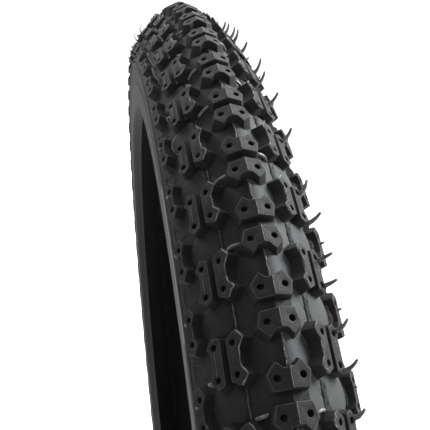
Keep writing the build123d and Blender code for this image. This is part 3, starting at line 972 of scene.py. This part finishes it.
TREAD = tread_rubber("tread_rubber", 0.006, 0.011, 0.25, (0.58, 0.78), (1, 0.99, 1.1))
# a lighter copy of the tread rubber: on the right half of the tread base its extra lightness is a painted
# sheen from the light on the right
BLOOM_AND_PAINTED_SHEEN = tread_rubber("tread_rubber_bloomed", 0.032, 0.05, 0.4, (0.62, 0.8), (0.94, 1.03, 1.05))
FLASH = flash_rubber("flash_rubber", (1.0, 1.03, 0.98))
TAN = flash_rubber("flash_rubber_tan", (1.12, 1.0, 0.84))
SPEW = spew_rubber()
WALL = sidewall_rubber()
KEPT = {
    "casing_ply": casing_fabric(), "chafer": chafer_rubber(), "bead_filler": filler_rubber(),
    "bead_wire": bead_steel(), "sidewall_label": label_film(),
}

# ---- The pieces --------------------------------------------------------------------------------

SPLIT = 9.0
side_columns = np.linspace(SPLIT, TREAD_EDGE, 42)
middle_columns = np.linspace(0, SPLIT, 22)
# the right half of the base takes the lighter rubber, a painted sheen; the left half, turned away from the
# light, keeps the dark rubber
base_band(middle_columns).piece("base_middle_right", BLOOM_AND_PAINTED_SHEEN, ["tread_base"], "tread_rubber")
base_band(-middle_columns[::-1]).piece("base_middle_left", TREAD, ["tread_base"], "tread_rubber")
base_band(side_columns).piece("base_right", BLOOM_AND_PAINTED_SHEEN, ["tread_base"], "tread_rubber")
base_band(-side_columns[::-1]).piece("base_left", TREAD, ["tread_base"], "tread_rubber")

around(centre_cluster(), 0).piece("centre_clusters", TREAD, ["centre_knobs"], "tread_rubber")
around(edge_flash, 0).piece("edge_flash_right", TAN, ["parting_flash_right"], "flash_rubber")
around(centre_flash, 0).piece("centre_flash", FLASH, ["parting_flash_centre"], "flash_rubber")
for name, on_right in (("left", False), ("right", True)):
    flipped = not on_right

    def flank_vents(index):
        return flank_hairs(index, on_right)

    def shoulder_vents(index):
        return shoulder_hairs(index, on_right)

    around(flank_cluster(), 0.5, flipped).piece(
        f"flank_clusters_{name}", TREAD, [f"flank_knobs_{name}"], "tread_rubber"
    )
    around(shoulder_knob(), 0, flipped).piece(
        f"shoulder_row_{name}", TREAD, [f"shoulder_knobs_{name}"], "tread_rubber"
    )
    around(flank_flash, 0.5, flipped).piece(
        f"flank_flash_{name}", FLASH, [f"parting_flash_{name}"], "flash_rubber"
    )
    around(shoulder_lines(), 0, flipped).piece(
        f"shoulder_lines_{name}", BLOOM_AND_PAINTED_SHEEN, [f"parting_flash_{name}"], "flash_rubber"
    )
    around(flank_vents, 0.5, flipped).piece(
        f"flank_hairs_{name}", SPEW, [f"flank_vent_spews_{name}"], "spew_rubber"
    )
    around(shoulder_vents, 0, flipped).piece(
        f"shoulder_hairs_{name}", SPEW, [f"shoulder_vent_spews_{name}"], "spew_rubber"
    )
    sidewall(1 if on_right else -1).piece(
        f"wall_{name}", WALL, [f"sidewall_{name}"], "sidewall_rubber", sharp=50
    )

for name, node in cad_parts.items():
    for start, material in KEPT.items():
        if name.startswith(start):
            node.data.materials.clear()
            node.data.materials.append(material)

# ---- Floor, light and camera -------------------------------------------------------------------


def make_floor():
    """A pale studio floor that curves up behind the tire."""
    low = -OUTER_RADIUS * MM
    front, back, bend, high = 6.0, -2.0, 1.6, 5.0
    rows = []
    for k in range(41):
        t = k / 40
        if t < 0.5:
            rows.append((front - t * 2 * (front - back), low))
        else:
            a = (t - 0.5) * math.pi
            rows.append((back - bend * math.sin(a), low + bend * (1 - math.cos(a))))
    rows.append((back - bend, high))
    points = []
    faces = []
    for x, z in rows:
        points += [(x, y, z) for y in np.linspace(-8, 8, 9)]
    for r in range(len(rows) - 1):
        for c in range(8):
            i = r * 9 + c
            faces.append((i, i + 1, i + 10, i + 9))
    mesh = bpy.data.meshes.new("floor")
    mesh.from_pydata(points, [], faces)
    mesh.shade_smooth()
    n = Nodes("floor_paint")
    paint = n.ramp(n.noise(2.0, 2), [(0.3, grey(0.68)), (0.7, grey(0.71))])
    mesh.materials.append(n.done(paint, 0.9, None, 0.1))
    floor = bpy.data.objects.new("floor", mesh)
    bpy.context.scene.collection.objects.link(floor)


def lamp(name, place, aim, size, power):
    """A soft square light."""
    data = bpy.data.lights.new(name, "AREA")
    data.shape = "SQUARE"
    data.size = size
    data.energy = power
    made = bpy.data.objects.new(name, data)
    made.location = place
    made.rotation_euler = (Vector(aim) - Vector(place)).to_track_quat("-Z", "Y").to_euler()
    bpy.context.scene.collection.objects.link(made)


def make_camera(place, heading, pitch, roll, lens):
    """The camera, aimed by its heading from +X, its pitch and its roll, in degrees."""
    heading, pitch, roll = (math.radians(a) for a in (heading, pitch, roll))
    flat = math.cos(pitch)
    forward = Vector((flat * math.cos(heading), flat * math.sin(heading), math.sin(pitch)))
    level = forward.cross(Vector((0, 0, 1))).normalized()
    down = forward.cross(level)
    right = level * math.cos(roll) + down * math.sin(roll)
    up = right.cross(forward)
    data = bpy.data.cameras.new("camera")
    data.lens = lens
    data.clip_start = 0.01
    made = bpy.data.objects.new("camera", data)
    made.matrix_world = Matrix.Translation(place) @ Matrix((right, up, -forward)).transposed().to_4x4()
    bpy.context.scene.collection.objects.link(made)
    bpy.context.scene.camera = made


make_floor()
AIM = (0.16, 0.0, 0.12)
lamp("key", (0.05, 1.25, 0.8), AIM, 0.6, 60)
lamp("fill", (0.75, -0.8, 1.25), AIM, 0.9, 7)
lamp("top", (-0.45, 0.15, 1.5), AIM, 0.8, 20)
for side in (-1, 1):
    lamp("backdrop", (-1.7, side * 1.5, 1.9), (-2.7, side * 0.3, 0.0), 1.2, 62)
world = bpy.context.scene.world or bpy.data.worlds.new("world")
bpy.context.scene.world = world
world.use_nodes = True
world.node_tree.nodes["Background"].inputs["Color"].default_value = (1, 1, 1, 1)
world.node_tree.nodes["Background"].inputs["Strength"].default_value = 0.5
bpy.context.scene.view_settings.view_transform = "Standard"
make_camera((0.38358, -0.04087, 0.1870), 171.454, -7.118, 4.307, 57.0)
